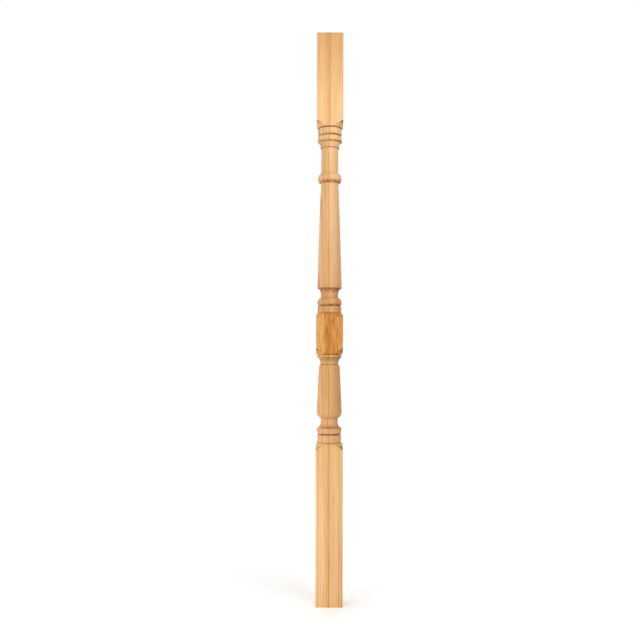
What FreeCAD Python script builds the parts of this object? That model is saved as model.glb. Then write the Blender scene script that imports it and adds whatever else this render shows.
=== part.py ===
# Turned softwood stair baluster, one solid, in millimetres.
# A planed square stick is turned between centres. Three lengths of it stay square, the bottom, middle and top
# blocks. The lengths between them carry bands, V-cuts, beads, coves, a vase and a long tapered shaft.
# Frame: +Z up along the turning axis, origin at the centre of the bottom end.

import FreeCAD
import Part
import math
import os

# Square stick
LENGTH = 900.0
SIDE = 42.0
ARRIS = 0.8

# Square blocks, each measured to the quirk at its turned end. The bottom block is what is left of the length.
TOP_BLOCK = 150.4
MIDDLE_BLOCK = 66.4

# Depths below are cut depths, measured in from the flat sides of the stick.
# A bulge or a swell stands out from the straight line between the ends of a curve, and a hollow lies back from it.

# Turned end of a block: a slope across the corners, then a fine V-cut, the quirk
SLOPE_HEIGHT = 9.0
SLOPE_FOOT_DEPTH = 0.4
QUIRK_DEPTH = 2.9
QUIRK_HEIGHT = 1.4
QUIRK_LIP_HEIGHT = 0.5

# Bands next to the blocks, and the V-cut between each band and its bead
BAND_DEPTH = 2.1
TOP_BAND_HEIGHT = 9.7
MIDDLE_BAND_HEIGHT = 9.0
BOTTOM_BAND_HEIGHT = 10.6
CUT_HEIGHT = 2.8
CUT_DEPTH = 3.9
BEAD_EDGE_DEPTH = 2.5

# Upper bead, with the cove and small fillet under it
TOP_BEAD_HEIGHT = 8.3
TOP_BEAD_BULGE = 0.45
TOP_BEAD_LIP_DEPTH = 1.6
TOP_COVE_HEIGHT = 7.6
TOP_COVE_HOLLOW = 0.8
TOP_COVE_DEPTH = 6.8
SMALL_FILLET_DEPTH = 5.5
SMALL_FILLET_HEIGHT = 1.9
SMALL_FILLET_TOP_HEIGHT = 0.5
SMALL_FILLET_UNDERSIDE_HEIGHT = 0.4

# Neck and collar bead
NECK_TOP_DEPTH = 7.5
NECK_FOOT_DEPTH = 7.2
NECK_HEIGHT = 40.0
COLLAR_HEIGHT = 15.7
COLLAR_BULGE = 3.8
COLLAR_FOOT_DEPTH = 4.8
COLLAR_UNDERSIDE_HEIGHT = 0.5

# Tapered shaft, with the cove under its foot
SHAFT_TOP_DEPTH = 7.1
SHAFT_FOOT_DEPTH = 1.6
SHAFT_HEIGHT = 167.9
SHAFT_SWELL = 0.35
SHAFT_LIP_DEPTH = 2.1
SHAFT_LIP_HEIGHT = 0.6
SHAFT_COVE_DEPTH = 7.2
SHAFT_COVE_HEIGHT = 7.7
SHAFT_COVE_HOLLOW = 1.3

# Torus bead over the middle band
TORUS_NECK_DEPTH = 7.4
TORUS_NECK_HEIGHT = 6.6
TORUS_HEIGHT = 12.0
TORUS_BULGE = 2.9

# Fillet and cove under the middle block
FILLET_DEPTH = 1.8
FILLET_HEIGHT = 3.4
FILLET_UNDERSIDE_HEIGHT = 0.2
VASE_COVE_TOP_DEPTH = 2.3
VASE_COVE_FOOT_DEPTH = 6.8
VASE_COVE_HEIGHT = 10.4
VASE_COVE_HOLLOW = 1.4

# Vase, with the fine V-cut over its crown
CROWN_CUT_DEPTH = 7.3
CROWN_CUT_HEIGHT = 0.6
CROWN_HEIGHT = 4.1
CROWN_BULGE = 0.7
VASE_TOP_DEPTH = 4.6
VASE_FOOT_DEPTH = 1.3
VASE_HEIGHT = 71.5
VASE_SWELL = 0.15
VASE_ROUND_HEIGHT = 9.0
VASE_ROUND_BULGE = 1.6

# Lower neck, cove and bead
LOWER_NECK_DEPTH = 7.5
LOWER_NECK_HEIGHT = 8.2
LOWER_COVE_HEIGHT = 7.0
LOWER_COVE_HOLLOW = 1.2
LOWER_BEAD_LIP_DEPTH = 2.0
LOWER_BEAD_HEIGHT = 8.7
LOWER_BEAD_BULGE = 0.75

# Room between the corners of the stick and the outline of the turning where it leaves the blocks square
CORNER_ROOM = 2.0

HALF_SIDE = SIDE / 2
CORNER_RADIUS = HALF_SIDE * math.sqrt(2)


class Outline:
    """Half outline of the turning, drawn downwards from the top end."""

    def __init__(self):
        self.point = FreeCAD.Vector(0, 0, LENGTH)
        self.edges = []

    def below(self, radius, drop):
        return FreeCAD.Vector(radius, 0, self.point.z - drop)

    def join(self, edge, end):
        self.edges.append(edge.toShape())
        self.point = end

    def line_to_radius(self, radius, drop):
        end = self.below(radius, drop)
        self.join(Part.LineSegment(self.point, end), end)

    def curve_to_radius(self, radius, drop, bulge):
        end = self.below(radius, drop)
        chord = end - self.point
        outward = FreeCAD.Vector(-chord.z, 0, chord.x).normalize()
        middle = (self.point + end) * 0.5 + outward * bulge
        self.join(Part.Arc(self.point, middle, end), end)

    def parabola(self, control, end):
        curve = Part.BezierCurve()
        curve.setPoles([self.point, control, end])
        self.join(curve, end)

    def swell(self, depth, drop, swell):
        """A slightly swelling taper, as the upper and the lower half of one parabola."""
        start = self.point
        end = self.below(HALF_SIDE - depth, drop)
        outward = FreeCAD.Vector(swell, 0, 0)
        middle = (start + end) * 0.5 + outward
        self.parabola((start * 3 + end) * 0.25 + outward, middle)
        self.parabola((start + end * 3) * 0.25 + outward, end)

    def line(self, depth, drop):
        self.line_to_radius(HALF_SIDE - depth, drop)

    def curve(self, depth, drop, bulge):
        self.curve_to_radius(HALF_SIDE - depth, drop, bulge)


def block_foot(outline, square_height, next_depth):
    """Lower end of a square block, down to the turning of next_depth below it."""
    outline.line_to_radius(CORNER_RADIUS + CORNER_ROOM, 0)
    outline.line_to_radius(CORNER_RADIUS + CORNER_ROOM, square_height)
    outline.line_to_radius(CORNER_RADIUS, 0)
    outline.line(SLOPE_FOOT_DEPTH, SLOPE_HEIGHT)
    outline.line(QUIRK_DEPTH, QUIRK_HEIGHT)
    outline.line(next_depth, QUIRK_LIP_HEIGHT)


def block_head(outline):
    """Upper end of a square block, down to where its corners are whole."""
    outline.line(QUIRK_DEPTH, QUIRK_LIP_HEIGHT)
    outline.line(SLOPE_FOOT_DEPTH, QUIRK_HEIGHT)
    outline.line_to_radius(CORNER_RADIUS, SLOPE_HEIGHT)


def v_cut(outline, next_depth):
    """V-cut from the turning above it to the turning of next_depth below it."""
    outline.line(CUT_DEPTH, CUT_HEIGHT / 2)
    outline.line(next_depth, CUT_HEIGHT / 2)


def top_motif(outline):
    """Band, bead, cove and small fillet under the top block."""
    outline.line(BAND_DEPTH, TOP_BAND_HEIGHT)
    v_cut(outline, BEAD_EDGE_DEPTH)
    outline.curve(TOP_BEAD_LIP_DEPTH, TOP_BEAD_HEIGHT, TOP_BEAD_BULGE)
    outline.curve(TOP_COVE_DEPTH, TOP_COVE_HEIGHT, -TOP_COVE_HOLLOW)
    outline.line(SMALL_FILLET_DEPTH, SMALL_FILLET_TOP_HEIGHT)
    outline.line(SMALL_FILLET_DEPTH, SMALL_FILLET_HEIGHT)
    outline.line(NECK_TOP_DEPTH, SMALL_FILLET_UNDERSIDE_HEIGHT)


def shaft(outline):
    """Neck, collar bead and tapered shaft."""
    outline.line(NECK_FOOT_DEPTH, NECK_HEIGHT)
    outline.curve(COLLAR_FOOT_DEPTH, COLLAR_HEIGHT, COLLAR_BULGE)
    outline.line(SHAFT_TOP_DEPTH, COLLAR_UNDERSIDE_HEIGHT)
    outline.swell(SHAFT_FOOT_DEPTH, SHAFT_HEIGHT, SHAFT_SWELL)
    outline.line(SHAFT_LIP_DEPTH, SHAFT_LIP_HEIGHT)
    outline.curve(SHAFT_COVE_DEPTH, SHAFT_COVE_HEIGHT, -SHAFT_COVE_HOLLOW)


def middle_motif(outline):
    """Neck, torus bead and band over the middle block."""
    outline.line(TORUS_NECK_DEPTH, TORUS_NECK_HEIGHT)
    outline.curve(BEAD_EDGE_DEPTH, TORUS_HEIGHT, TORUS_BULGE)
    v_cut(outline, BAND_DEPTH)
    outline.line(BAND_DEPTH, MIDDLE_BAND_HEIGHT)


def vase(outline):
    """Fillet, cove and vase under the middle block."""
    outline.line(FILLET_DEPTH, FILLET_HEIGHT)
    outline.line(VASE_COVE_TOP_DEPTH, FILLET_UNDERSIDE_HEIGHT)
    outline.curve(VASE_COVE_FOOT_DEPTH, VASE_COVE_HEIGHT, -VASE_COVE_HOLLOW)
    outline.line(CROWN_CUT_DEPTH, CROWN_CUT_HEIGHT)
    outline.curve(VASE_TOP_DEPTH, CROWN_HEIGHT, CROWN_BULGE)
    outline.swell(VASE_FOOT_DEPTH, VASE_HEIGHT, VASE_SWELL)
    outline.curve(LOWER_NECK_DEPTH, VASE_ROUND_HEIGHT, VASE_ROUND_BULGE)


def bottom_motif(outline):
    """Neck, cove, bead and band over the bottom block."""
    outline.line(LOWER_NECK_DEPTH, LOWER_NECK_HEIGHT)
    outline.curve(LOWER_BEAD_LIP_DEPTH, LOWER_COVE_HEIGHT, -LOWER_COVE_HOLLOW)
    outline.curve(BEAD_EDGE_DEPTH, LOWER_BEAD_HEIGHT, LOWER_BEAD_BULGE)
    v_cut(outline, BAND_DEPTH)
    outline.line(BAND_DEPTH, BOTTOM_BAND_HEIGHT)


def turned_solid():
    """The whole turning, with room left round the square blocks."""
    block_end = SLOPE_HEIGHT + QUIRK_HEIGHT
    outline = Outline()
    block_foot(outline, TOP_BLOCK - block_end, BAND_DEPTH)
    top_motif(outline)
    shaft(outline)
    middle_motif(outline)
    block_head(outline)
    block_foot(outline, MIDDLE_BLOCK - 2 * block_end, FILLET_DEPTH)
    vase(outline)
    bottom_motif(outline)
    block_head(outline)
    outline.line_to_radius(CORNER_RADIUS + CORNER_ROOM, 0)
    outline.line_to_radius(CORNER_RADIUS + CORNER_ROOM, outline.point.z)
    outline.line_to_radius(0, 0)
    outline.line_to_radius(0, -LENGTH)
    face = Part.Face(Part.Wire(outline.edges))
    return face.revolve(FreeCAD.Vector(0, 0, 0), FreeCAD.Vector(0, 0, 1), 360)


def square_stick():
    """The planed stick, with its four long edges eased."""
    stick = Part.makeBox(SIDE, SIDE, LENGTH, FreeCAD.Vector(-HALF_SIDE, -HALF_SIDE, 0))
    long_edges = [edge for edge in stick.Edges if abs(edge.tangentAt(0).z) > 0.5]
    return stick.makeFillet(ARRIS, long_edges)


def baluster():
    shape = square_stick().common(turned_solid())
    return shape.Solids[0]


os.makedirs("parts", exist_ok=True)
baluster().exportStep("parts/baluster.step")
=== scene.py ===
import bpy
import math
import numpy as np
from mathutils import Euler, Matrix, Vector


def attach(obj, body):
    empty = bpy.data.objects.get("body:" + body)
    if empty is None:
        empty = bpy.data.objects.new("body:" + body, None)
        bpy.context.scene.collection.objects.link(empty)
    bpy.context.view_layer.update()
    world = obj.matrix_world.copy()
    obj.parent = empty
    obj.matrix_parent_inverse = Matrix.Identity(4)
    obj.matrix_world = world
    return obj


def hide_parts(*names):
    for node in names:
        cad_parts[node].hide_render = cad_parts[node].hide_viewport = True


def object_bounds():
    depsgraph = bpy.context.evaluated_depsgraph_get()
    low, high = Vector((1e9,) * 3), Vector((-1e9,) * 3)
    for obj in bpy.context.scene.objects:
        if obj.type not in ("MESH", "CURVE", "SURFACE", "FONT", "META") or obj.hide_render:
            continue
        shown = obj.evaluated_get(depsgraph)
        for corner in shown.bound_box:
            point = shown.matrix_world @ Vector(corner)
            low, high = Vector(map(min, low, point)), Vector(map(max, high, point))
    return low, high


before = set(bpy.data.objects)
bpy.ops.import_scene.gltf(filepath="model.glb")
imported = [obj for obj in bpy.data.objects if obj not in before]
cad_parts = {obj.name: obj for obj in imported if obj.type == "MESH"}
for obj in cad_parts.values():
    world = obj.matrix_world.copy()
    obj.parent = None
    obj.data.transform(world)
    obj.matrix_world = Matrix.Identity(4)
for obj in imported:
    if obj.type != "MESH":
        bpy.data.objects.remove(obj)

CAD_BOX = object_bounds()


def linear(red, green, blue):
    """A colour as it looks on screen, 0 to 255, as light, by the sRGB curve."""
    light = []
    for channel in (red, green, blue):
        level = channel / 255
        light.append(level / 12.92 if level <= 0.04045 else ((level + 0.055) / 1.055) ** 2.4)
    return light + [1.0]


# Sizes of the wood are in millimetres, as on a drawing. The mesh is scaled to metres when it is made.
MM = 0.001
LENGTH = CAD_BOX[1].z / MM
HALF_SIDE = CAD_BOX[1].x / MM
ARRIS = 0.8

# Square blocks, each measured to the quirk at its turned end
TOP_BLOCK = 150.4
MIDDLE_BLOCK = 66.4

# Depths are cut depths, measured in from the flat sides of the stick.
# A bulge or a swell stands out from the straight line between the ends of a curve.
# A hollow lies back from that line.

# Turned end of a block: a slope across the corners, then a fine V-cut, the quirk
SLOPE_HEIGHT = 9.0
SLOPE_FOOT_DEPTH = 0.4
QUIRK_DEPTH = 2.9
QUIRK_HEIGHT = 1.4
QUIRK_LIP_HEIGHT = 0.5

# Bands next to the blocks, and the V-cut between each band and its bead
BAND_DEPTH = 2.1
TOP_BAND_HEIGHT = 9.7
MIDDLE_BAND_HEIGHT = 9.0
BOTTOM_BAND_HEIGHT = 10.6
CUT_HEIGHT = 2.8
CUT_DEPTH = 3.9
BEAD_EDGE_DEPTH = 2.5

# Upper bead, with the cove and small fillet under it
TOP_BEAD_HEIGHT = 8.3
TOP_BEAD_BULGE = 0.45
TOP_BEAD_LIP_DEPTH = 1.6
TOP_COVE_HEIGHT = 7.6
TOP_COVE_HOLLOW = 0.8
TOP_COVE_DEPTH = 6.8
SMALL_FILLET_DEPTH = 5.5
SMALL_FILLET_HEIGHT = 1.9
SMALL_FILLET_TOP_HEIGHT = 0.5
SMALL_FILLET_UNDERSIDE_HEIGHT = 0.4

# Neck and collar bead
NECK_TOP_DEPTH = 7.5
NECK_FOOT_DEPTH = 7.2
NECK_HEIGHT = 40.0
COLLAR_HEIGHT = 15.7
COLLAR_BULGE = 3.8
COLLAR_FOOT_DEPTH = 4.8
COLLAR_UNDERSIDE_HEIGHT = 0.5

# Tapered shaft, with the cove under its foot
SHAFT_TOP_DEPTH = 7.1
SHAFT_FOOT_DEPTH = 1.6
SHAFT_HEIGHT = 167.9
SHAFT_SWELL = 0.35
SHAFT_LIP_DEPTH = 2.1
SHAFT_LIP_HEIGHT = 0.6
SHAFT_COVE_DEPTH = 7.2
SHAFT_COVE_HEIGHT = 7.7
SHAFT_COVE_HOLLOW = 1.3

# Torus bead over the middle band
TORUS_NECK_DEPTH = 7.4
TORUS_NECK_HEIGHT = 6.6
TORUS_HEIGHT = 12.0
TORUS_BULGE = 2.9

# Fillet and cove under the middle block
FILLET_DEPTH = 1.8
FILLET_HEIGHT = 3.4
FILLET_UNDERSIDE_HEIGHT = 0.2
VASE_COVE_TOP_DEPTH = 2.3
VASE_COVE_FOOT_DEPTH = 6.8
VASE_COVE_HEIGHT = 10.4
VASE_COVE_HOLLOW = 1.4

# Vase, with the fine V-cut over its crown
CROWN_CUT_DEPTH = 7.3
CROWN_CUT_HEIGHT = 0.6
CROWN_HEIGHT = 4.1
CROWN_BULGE = 0.7
VASE_TOP_DEPTH = 4.6
VASE_FOOT_DEPTH = 1.3
VASE_HEIGHT = 71.5
VASE_SWELL = 0.15
VASE_ROUND_HEIGHT = 9.0
VASE_ROUND_BULGE = 1.6

# Lower neck, cove and bead
LOWER_NECK_DEPTH = 7.5
LOWER_NECK_HEIGHT = 8.2
LOWER_COVE_HEIGHT = 7.0
LOWER_COVE_HOLLOW = 1.2
LOWER_BEAD_LIP_DEPTH = 2.0
LOWER_BEAD_HEIGHT = 8.7
LOWER_BEAD_BULGE = 0.75

# Fineness of the mesh
FLAT_STEPS = 34
ARRIS_STEPS = 4
ARC_STEP_DEGREES = 6.0
SWELL_STEPS = 14
BLOCK_STEP = 12.0
SLOPE_SHARES = (0.04, 0.12, 0.3, 0.6)
END_RINGS = (0.25, 0.55, 0.85)
SKIN = 0.04

# Eased edges: how far they are cut back, at most by what share of a line, and from what turn on
EASING = 0.22
EASED_SHARE = 0.4
EASED_TURN_DEGREES = 14.0

# Where the middle of an eased edge lies, as a share of the easing, and the easing of a slope's crease
ROUND_MIDDLE = 0.25
CREASE_EASING = 0.08

# How strong the dark marks are, from the top of the stick down: partly the tools' burnish, partly painted
# shade in the grooves, coves and under the beads
EDGE_MARK = 0.8
TOP_QUIRK_MARK = 2.2
CUT_MARK = 1.1
TOP_LIP_MARK = 1.15
SMALL_FILLET_MARK = 0.95
COLLAR_MARK = 1.15
SHAFT_LIP_MARK = 1.1
MIDDLE_HEAD_QUIRK_MARK = 0.0
MIDDLE_FOOT_QUIRK_MARK = 0.35
VASE_COVE_MARK = 0.6
CROWN_CUT_MARK = 0.6
VASE_FOOT_MARK = 0.3
LOWER_LIP_MARK = 0.7
BOTTOM_CUT_MARK = 1.4
BOTTOM_QUIRK_MARK = 0.8

# How far the marks reach before they fade out, in millimetres or as a share of a bead or cove
MARK_REACH = 1.0
EDGE_REACH = 1.8
TOP_LIP_REACH = 1.8
UNDERSIDE_REACH = 0.6
MARKED_SHARE = 1 / 3

# How much stronger the marks are on the right than in front, as painted shade on the side away from the
# light, and weaker on the left as painted light, and how far fibres break them up
MARK_SHADE_SIDE = 0.4
TICK_LEVELS = (0.45, 1.2)

# Torn wood and painted shade where the slopes run out at the corners, the direction of the painted shade,
# on the side away from the light, and the power of its fading
TORN_AND_SHADE_TOP = 3.4
TORN_AND_SHADE_MIDDLE_HEAD = 0.3
TORN_AND_SHADE_MIDDLE_FOOT = 3.2
TORN_AND_SHADE_BOTTOM = 2.8
SHADED_SIDE_DEGREES = -60.0
TORN_AND_SHADE_FALL = 2

# Colours of the wood
SAPWOOD = linear(251, 212, 161)
HEARTWOOD = linear(207, 150, 83)
RESIN_PALE = linear(232, 180, 113)
RESIN_DARK = linear(195, 128, 47)

# Tints that multiply those colours, and the most that a blush shows
ZONE_TINT = (0.94, 0.93, 0.91, 1.0)
BLUSH_TINT = (1.03, 0.95, 0.96, 1.0)
BLUSH_SHARE = 0.6
STREAK_YELLOW = (0.97, 0.94, 0.82, 1.0)
STREAK_PINK = (1.0, 0.95, 0.97, 1.0)
FIBRE_TINT = (0.87, 0.83, 0.76, 1.0)
BAND_TINT = (0.88, 0.80, 0.63, 1.0)
LATE_TINT = (0.56, 0.36, 0.16, 1.0)
TURNED_TINT = (0.955, 0.98, 1.045, 1.0)
END_TINT = (0.92, 0.88, 0.82, 1.0)
# Tints of the dark marks: partly burnished and torn wood, partly painted shade
WEAR_AND_SHADE_TINT = (0.38, 0.25, 0.02, 1.0)
TORN_AND_SHADE_TINT = (0.34, 0.24, 0.02, 1.0)

# Share of heartwood colour at heights up the stick, and how much it varies in patches
HEART_SHARES = (
    (0, 0.2), (235, 0.22), (262, 0.4), (300, 0.47), (360, 0.52), (465, 0.6), (490, 0.58), (505, 0.37),
    (600, 0.2), (690, 0.16), (752, 0.05), (800, 0.12), (890, 0.52))
HEART_PATCHES = 0.15

# More heartwood colour on the right of the middle stretch, as painted shade on the side away from the
# light, and less on the left of the foot, as painted light on the lit side
HEART_SHADE_RIGHT = 0.26
SHADE_ACROSS = (0.0, 14.0)
SHADE_RISE = (250.0, 310.0)
SHADE_FALL = (470.0, 580.0)
SAP_LIGHT_LEFT = 0.3
LIGHT_ACROSS = (-13.0, -3.0)
LIGHT_FALL = (120.0, 260.0)

# Resinous stretch of the middle block
RESIN_HEIGHTS = (388.5, 454.5)
RESIN_FADE = 0.8

# Dark streaks in it: shares at places across the stick, and how far they swing in pale and in dark parts
FIGURE_SHARES = ((-21, 0.14), (-12, 0.17), (-5, 0.72), (1, 0.8), (10, 0.72), (21, 0.45))
FIGURE_FULL = 0.6
FIGURE_SWING = (0.2625, 0.525)

# Rings of the tree: the place of its pith, the width of a year, and the dark line down the front
PITH_ACROSS = -120.0
PITH_DEEP = -52.0
YEAR = 3.9
LINE_ACROSS = -0.1

# Darkness through one year, the weaker years and patches, and the faint years beside the dark line
LATE_WOOD = ((0.0, 0.0), (0.6, 0.1), (0.84, 0.45), (0.94, 1.0), (1.0, 0.1))
WEAK_EVERY = 2
WEAK_YEAR = 0.7
PATCH_LEVELS = (0.4, 1.3)
FAINT_YEARS = (1.2, 4.3)
FAINT_FADE = 0.5
FAINT_SHARE = 0.45

# Strength of the ring lines at heights up the stick: of all, and of those after the faint years
LINE_SHARES = (
    (0, 1.1), (45, 0.85), (260, 0.8), (385, 0.75), (391, 0.45), (452, 0.45), (458, 0.9), (690, 1.0),
    (745, 0.8), (765, 0.7), (890, 0.4))
LATER_SHARES = ((0, 2.0), (110, 1.6), (170, 1.0), (890, 1.0))

# Band of darker years before the dark line, which darkens slowly or quickly by height
DARK_YEARS = (-1.0, 1.0)
DARK_FADE = 0.5
DARK_END = (-0.1, 0.7)
SLOW_SHARES = ((0, 1.0), (250, 1.0), (310, 0.0), (740, 0.0), (775, 0.75), (900, 0.75))
QUICK_BAND = 0.7

# How far long bends and short waves of the grain shift the rings
BEND = 0.8
WAVE = 7.0

# Sizes of the grain, across the fibres and along them
BEND_WIDTH = 60.0
BEND_LENGTH = 500.0
WAVE_WIDTH = 14.0
WAVE_LENGTH = 34.0
PATCH_WIDTH = 7.0
PATCH_LENGTH = 90.0
BLUSH_WIDTH = 9.0
BLUSH_LENGTH = 160.0
STREAK_WIDTH = 2.0
STREAK_LENGTH = 120.0
FIBRE_WIDTH = 0.7
FIBRE_LENGTH = 45.0
ZONE_WIDTH = 16.0
ZONE_LENGTH = 260.0
FIGURE_WIDTH = 1.8
FIGURE_LENGTH = 24.0
TICK_WIDTH = 2.2
TICK_LENGTH = 8.0
LATHE_WIDTH = 30.0
LATHE_PITCH = 0.35

# Noise: its detail, and the levels taken as low and high, which look harder the closer they are
PLAIN_DETAIL = 1.0
GRAIN_DETAIL = 2.0
FIBRE_DETAIL = 3.0
NOISE_MIDDLE = 0.5
SOFT_NOISE = (0.2, 0.8)
EVEN_NOISE = (0.25, 0.75)
FIRM_NOISE = (0.3, 0.7)
SHARP_NOISE = (0.38, 0.62)

# Surface of bare wood, with its relief in millimetres
ROUGHNESS = (0.48, 0.64)
LATE_POLISH = 0.08
SPECULAR = 0.2
FIBRE_RELIEF = 0.05
LATE_RELIEF = 0.04
LATHE_RELIEF = 0.03

# How far up or down a surface faces where end grain starts to show, and where it shows in full
END_FACING = (0.75, 1.0)

# Camera of the photograph, in metres, degrees and millimetres of lens
CAMERA_DISTANCE = 1.2648
CAMERA_HEIGHT = 0.3833
CAMERA_SIDE = -0.0150
CAMERA_TILT_UP = 2.72
CAMERA_ROLL = 0.170
CAMERA_LENS = 44.83
SENSOR_WIDTH = 36.0

# Light from all sides, as levels to the left and right and from the horizon up
LEFT_AMBIENT = 1.0
RIGHT_AMBIENT = 0.36
SKY_LEVELS = ((0.0, 1.0), (0.5, 1.0), (1.0, 0.65))
WHITE = (1.0, 1.0, 1.0, 1.0)

# Lamps, in metres and watts
KEY_PLACE = (-0.54, -0.56, 0.14)
KEY_SIZE = 0.5
KEY_POWER = 2.95
FILL_PLACE = (0.42, -0.58, 0.94)
FILL_SIZE = 0.6
FILL_POWER = 3.45
BACK_PLACE = (0.05, 0.85, 0.55)
BACK_SIZE = 0.8
BACK_POWER = 2.6

# Floor, in metres, with a glow that rises from near the object to far from it
FLOOR_SIZE = 8.0
FLOOR_TONE = (0.92, 0.92, 0.92, 1.0)
GLOW_LEVELS = (0.22, 0.47)
GLOW_REACH = (0.2, 1.05)


class Outline:
    """Outline of one turned length, as points (radius, height) from its upper end down.

    A mark is a height where the wood is darkened, as in a groove: partly the tool's burnish, partly
    painted shade in the groove or under a bead. It has a strength there, and fades out above and below.
    """

    def __init__(self, depth, height):
        self.points = [(HALF_SIDE - depth, height)]
        self.marks = []

    def mark(self, strength, above=MARK_REACH, below=MARK_REACH):
        self.marks.append((self.points[-1][1], strength, above, below))

    def line(self, depth, drop):
        height = self.points[-1][1]
        self.points.append((HALF_SIDE - depth, height - drop))

    def curve(self, depth, drop, bulge):
        """An arc that stands out by bulge from the straight line to its end."""
        radius, height = self.points[-1]
        across = HALF_SIDE - depth - radius
        chord = math.hypot(across, drop)
        half_angle = 2 * math.atan(2 * abs(bulge) / chord)
        steps = math.ceil(2 * math.degrees(half_angle) / ARC_STEP_DEGREES)
        for angle in np.linspace(-half_angle, half_angle, steps + 1)[1:]:
            along = 0.5 + 0.5 * math.sin(angle) / math.sin(half_angle)
            rise = (math.cos(angle) - math.cos(half_angle)) / (1 - math.cos(half_angle)) * bulge
            out_radius = radius + across * along + rise * drop / chord
            out_height = height - drop * along + rise * across / chord
            self.points.append((out_radius, out_height))

    def swell(self, depth, drop, swell):
        """A taper that stands out a little from straight, as a parabola."""
        radius, height = self.points[-1]
        across = HALF_SIDE - depth - radius
        for share in np.linspace(0, 1, SWELL_STEPS + 1)[1:]:
            out_radius = radius + across * share + 4 * swell * share * (1 - share)
            self.points.append((out_radius, height - drop * share))

    def eased(self):
        """The points with each edge trimmed back by the easing, and rounded."""
        points = np.array(self.points)
        out = [points[0]]
        for before, point, after in zip(points, points[1:], points[2:]):
            back, ahead = before - point, after - point
            back_length, ahead_length = np.hypot(*back), np.hypot(*ahead)
            turn = math.pi - math.acos(np.clip(back @ ahead / back_length / ahead_length, -1, 1))
            if math.degrees(turn) < EASED_TURN_DEGREES:
                out.append(point)
                continue
            start = point + back * min(EASING / back_length, EASED_SHARE)
            end = point + ahead * min(EASING / ahead_length, EASED_SHARE)
            middle = point + (start + end - 2 * point) * ROUND_MIDDLE
            out += [start, middle, end]
        out.append(points[-1])
        return out

    def split(self, points):
        """The points, with more of them where a mark has faded out."""
        limits = [height + above for height, strength, above, below in self.marks]
        limits += [height - below for height, strength, above, below in self.marks]
        out = [points[0]]
        for point, after in zip(points, points[1:]):
            for limit in sorted(limits, reverse=True):
                if point[1] - SKIN > limit > after[1] + SKIN:
                    share = (point[1] - limit) / (point[1] - after[1])
                    out.append(point + (after - point) * share)
            out.append(after)
        return out

    def wear_and_shade(self, height):
        """How marked the wood is at a height."""
        shares = [0.0]
        for place, strength, above, below in self.marks:
            reach = above if height > place else below
            shares.append(strength * (1 - abs(height - place) / reach))
        return max(shares)

    def rows(self):
        """The finished points from the top down, each with how marked the wood is there."""
        return [(radius, height, self.wear_and_shade(height)) for radius, height in self.split(self.eased())]


def quirk_below_block(outline, next_depth, strength):
    outline.line(QUIRK_DEPTH, QUIRK_HEIGHT)
    outline.mark(strength, above=QUIRK_HEIGHT)
    outline.line(next_depth, QUIRK_LIP_HEIGHT)


def quirk_above_block(outline, strength):
    outline.line(QUIRK_DEPTH, QUIRK_LIP_HEIGHT)
    outline.mark(strength)
    outline.line(SLOPE_FOOT_DEPTH, QUIRK_HEIGHT)


def v_cut(outline, next_depth, strength, above=CUT_HEIGHT):
    outline.line(CUT_DEPTH, CUT_HEIGHT / 2)
    outline.mark(strength, above, below=CUT_HEIGHT / 2)
    outline.line(next_depth, CUT_HEIGHT / 2)


def upper_turning(height):
    """From the foot of the top block's slope down to the head of the middle block's slope."""
    outline = Outline(SLOPE_FOOT_DEPTH, height)
    quirk_below_block(outline, BAND_DEPTH, TOP_QUIRK_MARK)
    outline.line(BAND_DEPTH, TOP_BAND_HEIGHT)
    v_cut(outline, BEAD_EDGE_DEPTH, CUT_MARK)
    outline.curve(TOP_BEAD_LIP_DEPTH, TOP_BEAD_HEIGHT, TOP_BEAD_BULGE)
    outline.mark(TOP_LIP_MARK, above=TOP_LIP_REACH, below=TOP_COVE_HEIGHT * MARKED_SHARE)
    outline.curve(TOP_COVE_DEPTH, TOP_COVE_HEIGHT, -TOP_COVE_HOLLOW)
    outline.line(SMALL_FILLET_DEPTH, SMALL_FILLET_TOP_HEIGHT)
    outline.line(SMALL_FILLET_DEPTH, SMALL_FILLET_HEIGHT)
    outline.mark(SMALL_FILLET_MARK, below=UNDERSIDE_REACH)
    outline.line(NECK_TOP_DEPTH, SMALL_FILLET_UNDERSIDE_HEIGHT)
    outline.line(NECK_FOOT_DEPTH, NECK_HEIGHT)
    outline.curve(COLLAR_FOOT_DEPTH, COLLAR_HEIGHT, COLLAR_BULGE)
    outline.mark(COLLAR_MARK, above=COLLAR_HEIGHT * MARKED_SHARE, below=UNDERSIDE_REACH)
    outline.line(SHAFT_TOP_DEPTH, COLLAR_UNDERSIDE_HEIGHT)
    outline.swell(SHAFT_FOOT_DEPTH, SHAFT_HEIGHT, SHAFT_SWELL)
    outline.line(SHAFT_LIP_DEPTH, SHAFT_LIP_HEIGHT)
    outline.mark(SHAFT_LIP_MARK, below=SHAFT_COVE_HEIGHT)
    outline.curve(SHAFT_COVE_DEPTH, SHAFT_COVE_HEIGHT, -SHAFT_COVE_HOLLOW)
    outline.line(TORUS_NECK_DEPTH, TORUS_NECK_HEIGHT)
    outline.curve(BEAD_EDGE_DEPTH, TORUS_HEIGHT, TORUS_BULGE)
    v_cut(outline, BAND_DEPTH, CUT_MARK, above=TORUS_HEIGHT * MARKED_SHARE)
    outline.line(BAND_DEPTH, MIDDLE_BAND_HEIGHT)
    quirk_above_block(outline, MIDDLE_HEAD_QUIRK_MARK)
    return outline.rows()


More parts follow.
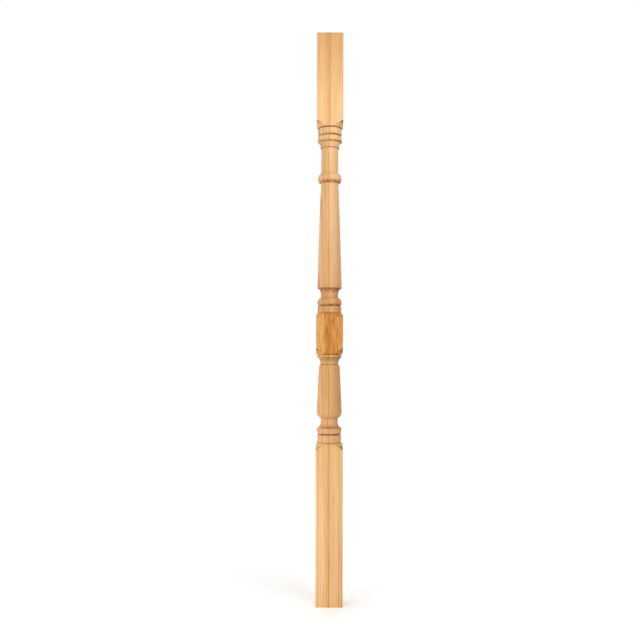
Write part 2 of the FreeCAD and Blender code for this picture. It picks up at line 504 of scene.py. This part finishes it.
def lower_turning(height):
    """From the foot of the middle block's slope down to the head of the bottom block's slope."""
    outline = Outline(SLOPE_FOOT_DEPTH, height)
    quirk_below_block(outline, FILLET_DEPTH, MIDDLE_FOOT_QUIRK_MARK)
    outline.line(FILLET_DEPTH, FILLET_HEIGHT)
    outline.line(VASE_COVE_TOP_DEPTH, FILLET_UNDERSIDE_HEIGHT)
    outline.mark(VASE_COVE_MARK, below=VASE_COVE_HEIGHT)
    outline.curve(VASE_COVE_FOOT_DEPTH, VASE_COVE_HEIGHT, -VASE_COVE_HOLLOW)
    outline.line(CROWN_CUT_DEPTH, CROWN_CUT_HEIGHT)
    outline.mark(CROWN_CUT_MARK)
    outline.curve(VASE_TOP_DEPTH, CROWN_HEIGHT, CROWN_BULGE)
    outline.swell(VASE_FOOT_DEPTH, VASE_HEIGHT, VASE_SWELL)
    outline.curve(LOWER_NECK_DEPTH, VASE_ROUND_HEIGHT, VASE_ROUND_BULGE)
    outline.mark(VASE_FOOT_MARK)
    outline.line(LOWER_NECK_DEPTH, LOWER_NECK_HEIGHT)
    outline.curve(LOWER_BEAD_LIP_DEPTH, LOWER_COVE_HEIGHT, -LOWER_COVE_HOLLOW)
    outline.mark(LOWER_LIP_MARK, above=LOWER_COVE_HEIGHT)
    outline.curve(BEAD_EDGE_DEPTH, LOWER_BEAD_HEIGHT, LOWER_BEAD_BULGE)
    v_cut(outline, BAND_DEPTH, BOTTOM_CUT_MARK)
    outline.line(BAND_DEPTH, BOTTOM_BAND_HEIGHT)
    quirk_above_block(outline, BOTTOM_QUIRK_MARK)
    return outline.rows()


def square_section():
    """Directions round the axis, and how far the eased square reaches in each."""
    reach = HALF_SIDE - ARRIS
    flat = [(HALF_SIDE, reach * share) for share in np.linspace(-1, 1, FLAT_STEPS + 1)]
    turns = np.linspace(0, math.pi / 2, ARRIS_STEPS + 1)[1:-1]
    corner = [(reach + ARRIS * math.cos(turn), reach + ARRIS * math.sin(turn)) for turn in turns]
    quarter = np.array(flat + corner)
    angles = np.arctan2(quarter[:, 1], quarter[:, 0])
    reaches = np.hypot(quarter[:, 0], quarter[:, 1])
    return np.concatenate([angles + side * math.pi / 2 for side in range(4)]), np.tile(reaches, 4)


class Rings:
    """Rings of the mesh from the top end down, each with a radius and a height in every direction.

    Planed is 1 on the blocks and their slopes, and 0 on the rest of the turning and on the sawn ends.
    One mark says how dark the wood is in the grooves, coves and under the beads: partly the tools'
    burnish, partly painted shade. The other says how dark the slopes are at the corners: partly torn wood,
    partly painted shade.
    """

    def __init__(self):
        self.angles, self.square = square_section()
        self.rings = []

    def add(self, radius, height, planed=0.0, wear_and_shade=0.0, torn_and_shade=0.0):
        values = (radius, height, planed, wear_and_shade, torn_and_shade)
        self.rings.append(np.array([np.broadcast_to(value, self.angles.shape) for value in values]))

    def turned(self, points):
        for radius, height, wear_and_shade in points:
            # The marks are painted stronger on the right, as shade on the side away from the light, and
            # weaker on the left, as painted light
            self.add(radius, height, wear_and_shade=wear_and_shade * (1 + MARK_SHADE_SIDE * np.cos(self.angles)))

    def flat_sides(self, top, bottom):
        steps = math.ceil((top - bottom) / BLOCK_STEP)
        for height in np.linspace(top, bottom, steps + 1):
            self.add(self.square, height, planed=1.0)

    def slope(self, corner_height, foot_height, strength):
        """Slope across the corners, as rings from the flat sides to its foot, each with how dark its mark
        is: partly torn wood, partly painted shade.
        """
        foot_radius = HALF_SIDE - SLOPE_FOOT_DEPTH
        corner_radius = HALF_SIDE * math.sqrt(2)
        rise = (self.square - foot_radius) / (corner_radius - foot_radius)
        crease = foot_height + (corner_height - foot_height) * rise
        rings = []
        for share in reversed(SLOPE_SHARES):
            rings.append((self.square, crease + (corner_height - crease) * share, 0.0))
        toward_foot = math.copysign(SKIN, foot_height - corner_height)
        # The corner mark is strongest toward the front right: painted shade on the side away from the
        # light
        side = (1 + np.cos(self.angles - math.radians(SHADED_SIDE_DEGREES))) / 2
        torn_and_shade = strength * (rise * side) ** TORN_AND_SHADE_FALL
        rings.append((self.square - CREASE_EASING, crease + toward_foot, torn_and_shade))
        for share in SLOPE_SHARES:
            height = crease + (foot_height - crease) * share
            radius = self.square + (foot_radius - self.square) * share
            rings.append((radius, height, torn_and_shade * (1 - share) ** TORN_AND_SHADE_FALL))
        return rings

    def slope_down(self, corner_height, foot_height, strength):
        for radius, height, torn_and_shade in self.slope(corner_height, foot_height, strength):
            self.add(radius, height, planed=1.0, torn_and_shade=torn_and_shade)

    def slope_up(self, foot_height, corner_height, strength):
        for radius, height, torn_and_shade in reversed(self.slope(corner_height, foot_height, strength)):
            self.add(radius, height, planed=1.0, torn_and_shade=torn_and_shade)

    def end(self, height, inward):
        """Sawn end of the stick. Inward is the step in height from the end into the wood."""
        rim = [(share * self.square, height) for share in END_RINGS]
        rim.append((self.square - EASING, height))
        back = EASING * ROUND_MIDDLE
        rim.append((self.square - back, height + inward * back))
        return rim

    def mesh(self, name):
        """One closed mesh through all the rings, with a fan of faces at each end."""
        radius, height, planed, wear_and_shade, torn_and_shade = np.array(self.rings).swapaxes(0, 1)
        count, columns = radius.shape
        places = np.stack([radius * np.cos(self.angles), radius * np.sin(self.angles), height], axis=2)
        centres = [(0.0, 0.0, height[0, 0]), (0.0, 0.0, height[-1, 0])]
        vertices = np.concatenate([places.reshape(-1, 3), centres]) * MM
        faces = []
        for ring in range(count - 1):
            for column in range(columns):
                beside = (column + 1) % columns
                here, below = ring * columns, (ring + 1) * columns
                faces.append((here + column, below + column, below + beside, here + beside))
        top_centre, last = count * columns, (count - 1) * columns
        for column in range(columns):
            beside = (column + 1) % columns
            faces.append((top_centre, column, beside))
            faces.append((top_centre + 1, last + beside, last + column))
        mesh = bpy.data.meshes.new(name)
        mesh.from_pydata(vertices.tolist(), [], faces)
        # Two of these marks darken the wood: partly wear, partly painted shade
        for mark, shares in (("planed", planed), ("wear_and_shade", wear_and_shade), ("torn_and_shade", torn_and_shade)):
            values = np.append(shares, [0.0, 0.0]).astype(np.float32)
            mesh.attributes.new(mark, "FLOAT", "POINT").data.foreach_set("value", values)
        mesh.shade_smooth()
        return mesh


def baluster_mesh():
    """The whole stick, from the top end down."""
    rings = Rings()
    block_end = SLOPE_HEIGHT + QUIRK_HEIGHT
    for radius, height in rings.end(LENGTH, -1):
        rings.add(radius, height)
    rings.add(rings.square, LENGTH - EASING, planed=1.0, wear_and_shade=EDGE_MARK)
    corner = LENGTH - TOP_BLOCK + block_end
    rings.flat_sides(LENGTH - EDGE_REACH, corner)
    foot = corner - SLOPE_HEIGHT
    rings.slope_down(corner, foot, TORN_AND_SHADE_TOP)
    turning = upper_turning(foot)
    rings.turned(turning)
    head = turning[-1][1]
    rings.slope_up(head, head - SLOPE_HEIGHT, TORN_AND_SHADE_MIDDLE_HEAD)
    corner = head + QUIRK_HEIGHT - MIDDLE_BLOCK + block_end
    rings.flat_sides(head - SLOPE_HEIGHT, corner)
    foot = corner - SLOPE_HEIGHT
    rings.slope_down(corner, foot, TORN_AND_SHADE_MIDDLE_FOOT)
    turning = lower_turning(foot)
    rings.turned(turning)
    head = turning[-1][1]
    rings.slope_up(head, head - SLOPE_HEIGHT, TORN_AND_SHADE_BOTTOM)
    rings.flat_sides(head - SLOPE_HEIGHT, EASING)
    for radius, height in reversed(rings.end(0.0, 1)):
        rings.add(radius, height)
    return rings.mesh("turned_pine")


class Nodes:
    """Short calls that add the nodes of one material or world and link them."""

    def __init__(self, tree):
        self.tree = tree

    def add(self, kind, inputs, output=0, **settings):
        node = self.tree.nodes.new(kind)
        for name, value in settings.items():
            setattr(node, name, value)
        self.fill(node, inputs)
        return node.outputs[output]

    def fill(self, node, inputs):
        for key, value in inputs.items():
            if isinstance(value, bpy.types.NodeSocket):
                self.tree.links.new(value, node.inputs[key])
            else:
                node.inputs[key].default_value = value

    def math(self, operation, first, second=0.0, clamp=False):
        return self.add("ShaderNodeMath", {0: first, 1: second}, operation=operation, use_clamp=clamp)

    def product(self, *values):
        product = values[0]
        for value in values[1:]:
            product = self.math("MULTIPLY", product, value)
        return product

    def total(self, *values):
        total = values[0]
        for value in values[1:]:
            total = self.math("ADD", total, value)
        return total

    def rest(self, share):
        """What a share leaves of the whole."""
        return self.math("SUBTRACT", 1.0, share)

    def span(self, value, start, end, low=0.0, high=1.0):
        """Low before start, high after end, and smooth between them."""
        inputs = {"Value": value, "From Min": start, "From Max": end, "To Min": low, "To Max": high}
        return self.add("ShaderNodeMapRange", inputs, interpolation_type="SMOOTHSTEP")

    def fall(self, value, start, end):
        """1 before start, 0 after end."""
        return self.span(value, start, end, 1.0, 0.0)

    def between(self, share, first, second):
        """First at a share of 0, second at a share of 1."""
        return self.span(share, 0.0, 1.0, first, second)

    def mix(self, share, first, second, blend="MIX"):
        """Two colours by a share. The node's colours are its inputs 6 and 7 and its output 2."""
        inputs = {0: share, 6: first, 7: second}
        return self.add("ShaderNodeMix", inputs, 2, data_type="RGBA", blend_type=blend, clamp_factor=True)

    def tint(self, colour, share, tint):
        """The colour multiplied by a tint, by a share."""
        return self.mix(share, colour, tint, "MULTIPLY")

    def mark(self, name):
        return self.add("ShaderNodeAttribute", {}, "Fac", attribute_name=name)

    def noise(self, place, across, along, detail=GRAIN_DETAIL):
        """Noise in grains that are across wide and along long."""
        inputs = {0: place, 1: (1 / across, 1 / across, 1 / along)}
        grains = self.add("ShaderNodeVectorMath", inputs, operation="MULTIPLY")
        return self.add("ShaderNodeTexNoise", {"Vector": grains, "Scale": 1.0, "Detail": detail})

    def centred(self, noise):
        """Noise that swings both ways about 0."""
        return self.math("SUBTRACT", noise, NOISE_MIDDLE)

    def curve(self, value, stops):
        """A number read off straight lines between stops of value and level."""
        ramp = self.add("ShaderNodeValToRGB", {"Fac": value})
        elements = ramp.node.color_ramp.elements
        elements.remove(elements[1])
        elements[0].position = stops[0][0]
        for at, level in stops[1:]:
            elements.new(at)
        for element, (at, level) in zip(elements, stops):
            element.color = (level, level, level, 1.0)
        return ramp


class Pine:
    """Clear pine with no finish: ring lines, long fibres, and a resinous stretch in the middle."""

    def __init__(self):
        self.material = bpy.data.materials.new("pine")
        self.material.use_nodes = True
        self.nodes = Nodes(self.material.node_tree)
        nodes = self.nodes
        place = nodes.add("ShaderNodeTexCoord", {}, "Object")
        self.place = nodes.add("ShaderNodeVectorMath", {0: place, "Scale": 1 / MM}, operation="SCALE")
        separate = nodes.add("ShaderNodeSeparateXYZ", {"Vector": self.place}).node
        self.across, self.deep, self.height = separate.outputs
        self.planed = nodes.mark("planed")
        self.patches = nodes.noise(self.place, PATCH_WIDTH, PATCH_LENGTH)
        self.fibres = nodes.noise(self.place, FIBRE_WIDTH, FIBRE_LENGTH, FIBRE_DETAIL)
        self.resin = self.resin_share()
        self.end_grain = self.end_grain_share()
        self.distance = self.ring_distance()
        self.years = self.year_count()
        self.rings = self.ring_lines()
        inputs = {"Base Color": self.colour(), "Roughness": self.roughness(), "Normal": self.bump(),
                  "Specular IOR Level": SPECULAR}
        nodes.fill(self.material.node_tree.nodes["Principled BSDF"], inputs)

    def by_height(self, shares):
        """A share read off a list of heights and shares."""
        level = self.nodes.math("DIVIDE", self.height, LENGTH)
        return self.nodes.curve(level, [(height / LENGTH, share) for height, share in shares])

    def by_width(self, shares):
        """A share read off a list of places across the stick and shares."""
        side = 2 * HALF_SIDE
        level = self.nodes.math("DIVIDE", self.nodes.total(self.across, HALF_SIDE), side)
        return self.nodes.curve(level, [((across + HALF_SIDE) / side, share) for across, share in shares])

    def resin_share(self):
        """1 on the middle block, where the wood is orange and its grain is wavy."""
        nodes = self.nodes
        low, high = RESIN_HEIGHTS
        rise = nodes.span(self.height, low - RESIN_FADE, low)
        return nodes.product(rise, nodes.fall(self.height, high, high + RESIN_FADE))

    def end_grain_share(self):
        """1 on the sawn ends, which face up or down."""
        nodes = self.nodes
        normal = nodes.add("ShaderNodeNewGeometry", {}, "Normal")
        upright = nodes.add("ShaderNodeSeparateXYZ", {"Vector": normal}, "Z")
        return nodes.span(nodes.math("ABSOLUTE", upright), *END_FACING)

    def ring_distance(self):
        """Distance from the pith of the tree, bent a little, and more where the wood is resinous."""
        nodes = self.nodes
        bend = nodes.centred(nodes.noise(self.place, BEND_WIDTH, BEND_LENGTH))
        wave = nodes.centred(nodes.noise(self.place, WAVE_WIDTH, WAVE_LENGTH))
        shift = nodes.total(nodes.product(bend, BEND), nodes.product(wave, WAVE, self.resin))
        x = nodes.total(nodes.math("SUBTRACT", self.across, PITH_ACROSS), shift)
        y = nodes.math("SUBTRACT", self.deep, PITH_DEEP)
        return nodes.math("SQRT", nodes.total(nodes.product(x, x), nodes.product(y, y)))

    def year_count(self):
        """Years of growth, counted so that the dark line ends year 1."""
        nodes = self.nodes
        start = math.hypot(LINE_ACROSS - PITH_ACROSS, -HALF_SIDE - PITH_DEEP) - YEAR
        return nodes.math("DIVIDE", nodes.math("SUBTRACT", self.distance, start), YEAR)

    def ring_lines(self):
        """0 in the pale wood of a year, up to 1 or so in its dark late wood."""
        nodes = self.nodes
        line = nodes.curve(nodes.math("FRACT", self.years), LATE_WOOD)
        turn = nodes.math("FLOORED_MODULO", nodes.math("FLOOR", self.years), WEAK_EVERY)
        strength = nodes.between(turn, 1.0, WEAK_YEAR)
        patches = nodes.span(self.patches, *FIRM_NOISE, *PATCH_LEVELS)
        first, last = FAINT_YEARS
        before = nodes.span(self.years, first, first + FAINT_FADE, 1.0, FAINT_SHARE)
        after = nodes.span(self.years, last - FAINT_FADE, last, 0.0, self.by_height(LATER_SHARES))
        sides = nodes.product(strength, patches, nodes.math("MAXIMUM", before, after))
        sides = nodes.product(sides, self.by_height(LINE_SHARES))
        return nodes.product(line, nodes.between(self.end_grain, sides, strength))

    def dark_band(self):
        """1 in the few years of darker growth before the dark line."""
        nodes = self.nodes
        first, last = DARK_YEARS
        slow = nodes.span(self.years, first - DARK_FADE, last)
        quick = nodes.span(self.years, first - DARK_FADE, first + DARK_FADE)
        rise = nodes.between(self.by_height(SLOW_SHARES), nodes.product(quick, QUICK_BAND), slow)
        start, end = DARK_END
        return nodes.product(rise, nodes.fall(self.years, last + start, last + end))

    def figure_streaks(self):
        """Dark streaks that follow the rings through the resinous wood."""
        nodes = self.nodes
        flow = nodes.add("ShaderNodeCombineXYZ", {"X": self.distance, "Z": self.height})
        noise = nodes.noise(flow, FIGURE_WIDTH, FIGURE_LENGTH, FIBRE_DETAIL)
        streaks = nodes.span(noise, *FIRM_NOISE, -1.0, 1.0)
        share = self.by_width(FIGURE_SHARES)
        swing = nodes.span(share, 0.0, FIGURE_FULL, *FIGURE_SWING)
        return nodes.math("ADD", share, nodes.product(streaks, swing), clamp=True)

    def ragged(self, share):
        """A mark broken up by short ticks of broken fibres."""
        nodes = self.nodes
        ticks = nodes.noise(self.place, TICK_WIDTH, TICK_LENGTH, PLAIN_DETAIL)
        return nodes.product(share, nodes.span(ticks, *SHARP_NOISE, *TICK_LEVELS))

    def side_light_and_shade(self):
        """More heartwood colour on the right of the middle stretch, as painted shade on the side away from
        the light, and less on the left of the foot, as painted light on the lit side.
        """
        nodes = self.nodes
        right = nodes.span(self.across, *SHADE_ACROSS)
        rise = nodes.span(self.height, *SHADE_RISE)
        more = nodes.product(right, rise, nodes.fall(self.height, *SHADE_FALL), HEART_SHADE_RIGHT)
        left = nodes.fall(self.across, *LIGHT_ACROSS)
        less = nodes.product(left, nodes.fall(self.height, *LIGHT_FALL), SAP_LIGHT_LEFT)
        return nodes.math("SUBTRACT", more, less)

    def colour(self):
        """Sapwood, heartwood and resinous wood, tinted by the grain and the rings, with painted shade and
        light on the sides, and dark marks that are partly burnished and torn wood, partly painted shade.
        """
        nodes = self.nodes
        patches = nodes.product(nodes.centred(self.patches), HEART_PATCHES)
        # Heartwood colour also paints shade on the right and light on the left of the lower turnings
        heart = nodes.total(self.by_height(HEART_SHARES), patches, self.side_light_and_shade())
        resinous = nodes.mix(self.figure_streaks(), RESIN_PALE, RESIN_DARK)
        colour = nodes.mix(self.resin, nodes.mix(heart, SAPWOOD, HEARTWOOD), resinous)
        zones = nodes.noise(self.place, ZONE_WIDTH, ZONE_LENGTH, PLAIN_DETAIL)
        colour = nodes.tint(colour, nodes.span(zones, *FIRM_NOISE), ZONE_TINT)
        blush = nodes.noise(self.place, BLUSH_WIDTH, BLUSH_LENGTH)
        colour = nodes.tint(colour, nodes.span(blush, *FIRM_NOISE, 0.0, BLUSH_SHARE), BLUSH_TINT)
        streaks = nodes.noise(self.place, STREAK_WIDTH, STREAK_LENGTH, PLAIN_DETAIL)
        streak_tint = nodes.mix(nodes.span(streaks, *EVEN_NOISE), STREAK_YELLOW, STREAK_PINK)
        colour = nodes.tint(colour, 1.0, streak_tint)
        colour = nodes.tint(colour, nodes.span(self.fibres, *EVEN_NOISE), FIBRE_TINT)
        colour = nodes.tint(colour, self.dark_band(), BAND_TINT)
        colour = nodes.tint(colour, self.rings, LATE_TINT)
        colour = nodes.tint(colour, nodes.rest(self.planed), TURNED_TINT)
        colour = nodes.tint(colour, self.end_grain, END_TINT)
        # Dark marks in the grooves, coves, under the beads and at the slopes' corners: partly burnished
        # and torn wood, partly painted shade
        colour = nodes.tint(colour, self.ragged(nodes.mark("wear_and_shade")), WEAR_AND_SHADE_TINT)
        return nodes.tint(colour, self.ragged(nodes.mark("torn_and_shade")), TORN_AND_SHADE_TINT)

    def roughness(self):
        """Late wood is a little smoother than the fibres round it."""
        nodes = self.nodes
        rough = nodes.span(self.fibres, *SOFT_NOISE, *ROUGHNESS)
        return nodes.math("SUBTRACT", rough, nodes.product(self.rings, LATE_POLISH), clamp=True)

    def bump(self):
        """Relief of the fibres and the late wood, and fine lathe lines round the turned wood."""
        nodes = self.nodes
        fibre = nodes.product(self.fibres, FIBRE_RELIEF)
        late = nodes.product(self.rings, LATE_RELIEF)
        lathe = nodes.noise(self.place, LATHE_WIDTH, LATHE_PITCH, PLAIN_DETAIL)
        lathe = nodes.product(lathe, nodes.rest(self.planed), LATHE_RELIEF)
        relief = nodes.total(fibre, late, lathe)
        return nodes.add("ShaderNodeBump", {"Height": relief, "Distance": MM, "Strength": 1.0})


def add_baluster():
    piece = bpy.data.objects.new("turned_pine", baluster_mesh())
    piece.data.materials.append(Pine().material)
    bpy.context.scene.collection.objects.link(piece)
    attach(piece, "root")
    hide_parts("baluster")


def add_camera():
    data = bpy.data.cameras.new("camera")
    data.lens = CAMERA_LENS
    data.sensor_width = SENSOR_WIDTH
    camera = bpy.data.objects.new("camera", data)
    camera.location = (CAMERA_SIDE, -CAMERA_DISTANCE, CAMERA_HEIGHT)
    upright = Euler((math.radians(90 + CAMERA_TILT_UP), 0, 0)).to_matrix()
    roll = Euler((0, 0, math.radians(CAMERA_ROLL))).to_matrix()
    camera.rotation_euler = (upright @ roll).to_euler()
    bpy.context.scene.collection.objects.link(camera)
    bpy.context.scene.camera = camera


def seen_directly(nodes):
    """1 for a ray from the camera, or one that reaches it in a reflection or through glass."""
    path = nodes.add("ShaderNodeLightPath", {}).node
    direct = nodes.math("MAXIMUM", path.outputs["Is Camera Ray"], path.outputs["Is Glossy Ray"])
    return nodes.math("MAXIMUM", direct, path.outputs["Is Transmission Ray"])


def add_world():
    """Soft light from all sides, brightest near the horizon. The camera sees white."""
    world = bpy.data.worlds.new("studio")
    world.use_nodes = True
    nodes = Nodes(world.node_tree)
    direction = nodes.add("ShaderNodeTexCoord", {}, "Generated")
    separate = nodes.add("ShaderNodeSeparateXYZ", {"Vector": direction}).node
    side = nodes.span(separate.outputs["X"], -1.0, 1.0, LEFT_AMBIENT, RIGHT_AMBIENT)
    level = nodes.product(nodes.curve(separate.outputs["Z"], SKY_LEVELS), side)
    direct = seen_directly(nodes)
    strength = nodes.total(nodes.product(level, nodes.rest(direct)), direct)
    nodes.fill(world.node_tree.nodes["Background"], {"Color": WHITE, "Strength": strength})
    bpy.context.scene.world = world


def add_lamp(name, place, size, power):
    data = bpy.data.lights.new(name, "AREA")
    data.shape = "SQUARE"
    data.size = size
    data.energy = power
    lamp = bpy.data.objects.new(name, data)
    lamp.location = place
    lamp.visible_camera = False
    aim = Vector((0, 0, LENGTH * MM / 2)) - lamp.location
    lamp.rotation_euler = aim.to_track_quat("-Z", "Y").to_euler()
    bpy.context.scene.collection.objects.link(lamp)


def add_floor():
    """Pale floor that looks white to the camera, apart from the object's shadow."""
    half = FLOOR_SIZE / 2
    mesh = bpy.data.meshes.new("floor")
    corners = [(-half, -half, 0), (half, -half, 0), (half, half, 0), (-half, half, 0)]
    mesh.from_pydata(corners, [], [(0, 1, 2, 3)])
    material = bpy.data.materials.new("floor")
    material.use_nodes = True
    nodes = Nodes(material.node_tree)
    place = nodes.add("ShaderNodeTexCoord", {}, "Object")
    distance = nodes.add("ShaderNodeVectorMath", {0: place}, "Value", operation="LENGTH")
    glow = nodes.product(seen_directly(nodes), nodes.span(distance, *GLOW_REACH, *GLOW_LEVELS))
    inputs = {"Base Color": FLOOR_TONE, "Roughness": 1.0, "Specular IOR Level": 0.0,
              "Emission Color": WHITE, "Emission Strength": glow}
    nodes.fill(material.node_tree.nodes["Principled BSDF"], inputs)
    mesh.materials.append(material)
    floor = bpy.data.objects.new("floor", mesh)
    bpy.context.scene.collection.objects.link(floor)


add_baluster()
add_camera()
add_world()
add_lamp("key", KEY_PLACE, KEY_SIZE, KEY_POWER)
add_lamp("fill", FILL_PLACE, FILL_SIZE, FILL_POWER)
add_lamp("back", BACK_PLACE, BACK_SIZE, BACK_POWER)
add_floor()
bpy.context.scene.view_settings.view_transform = "Standard"
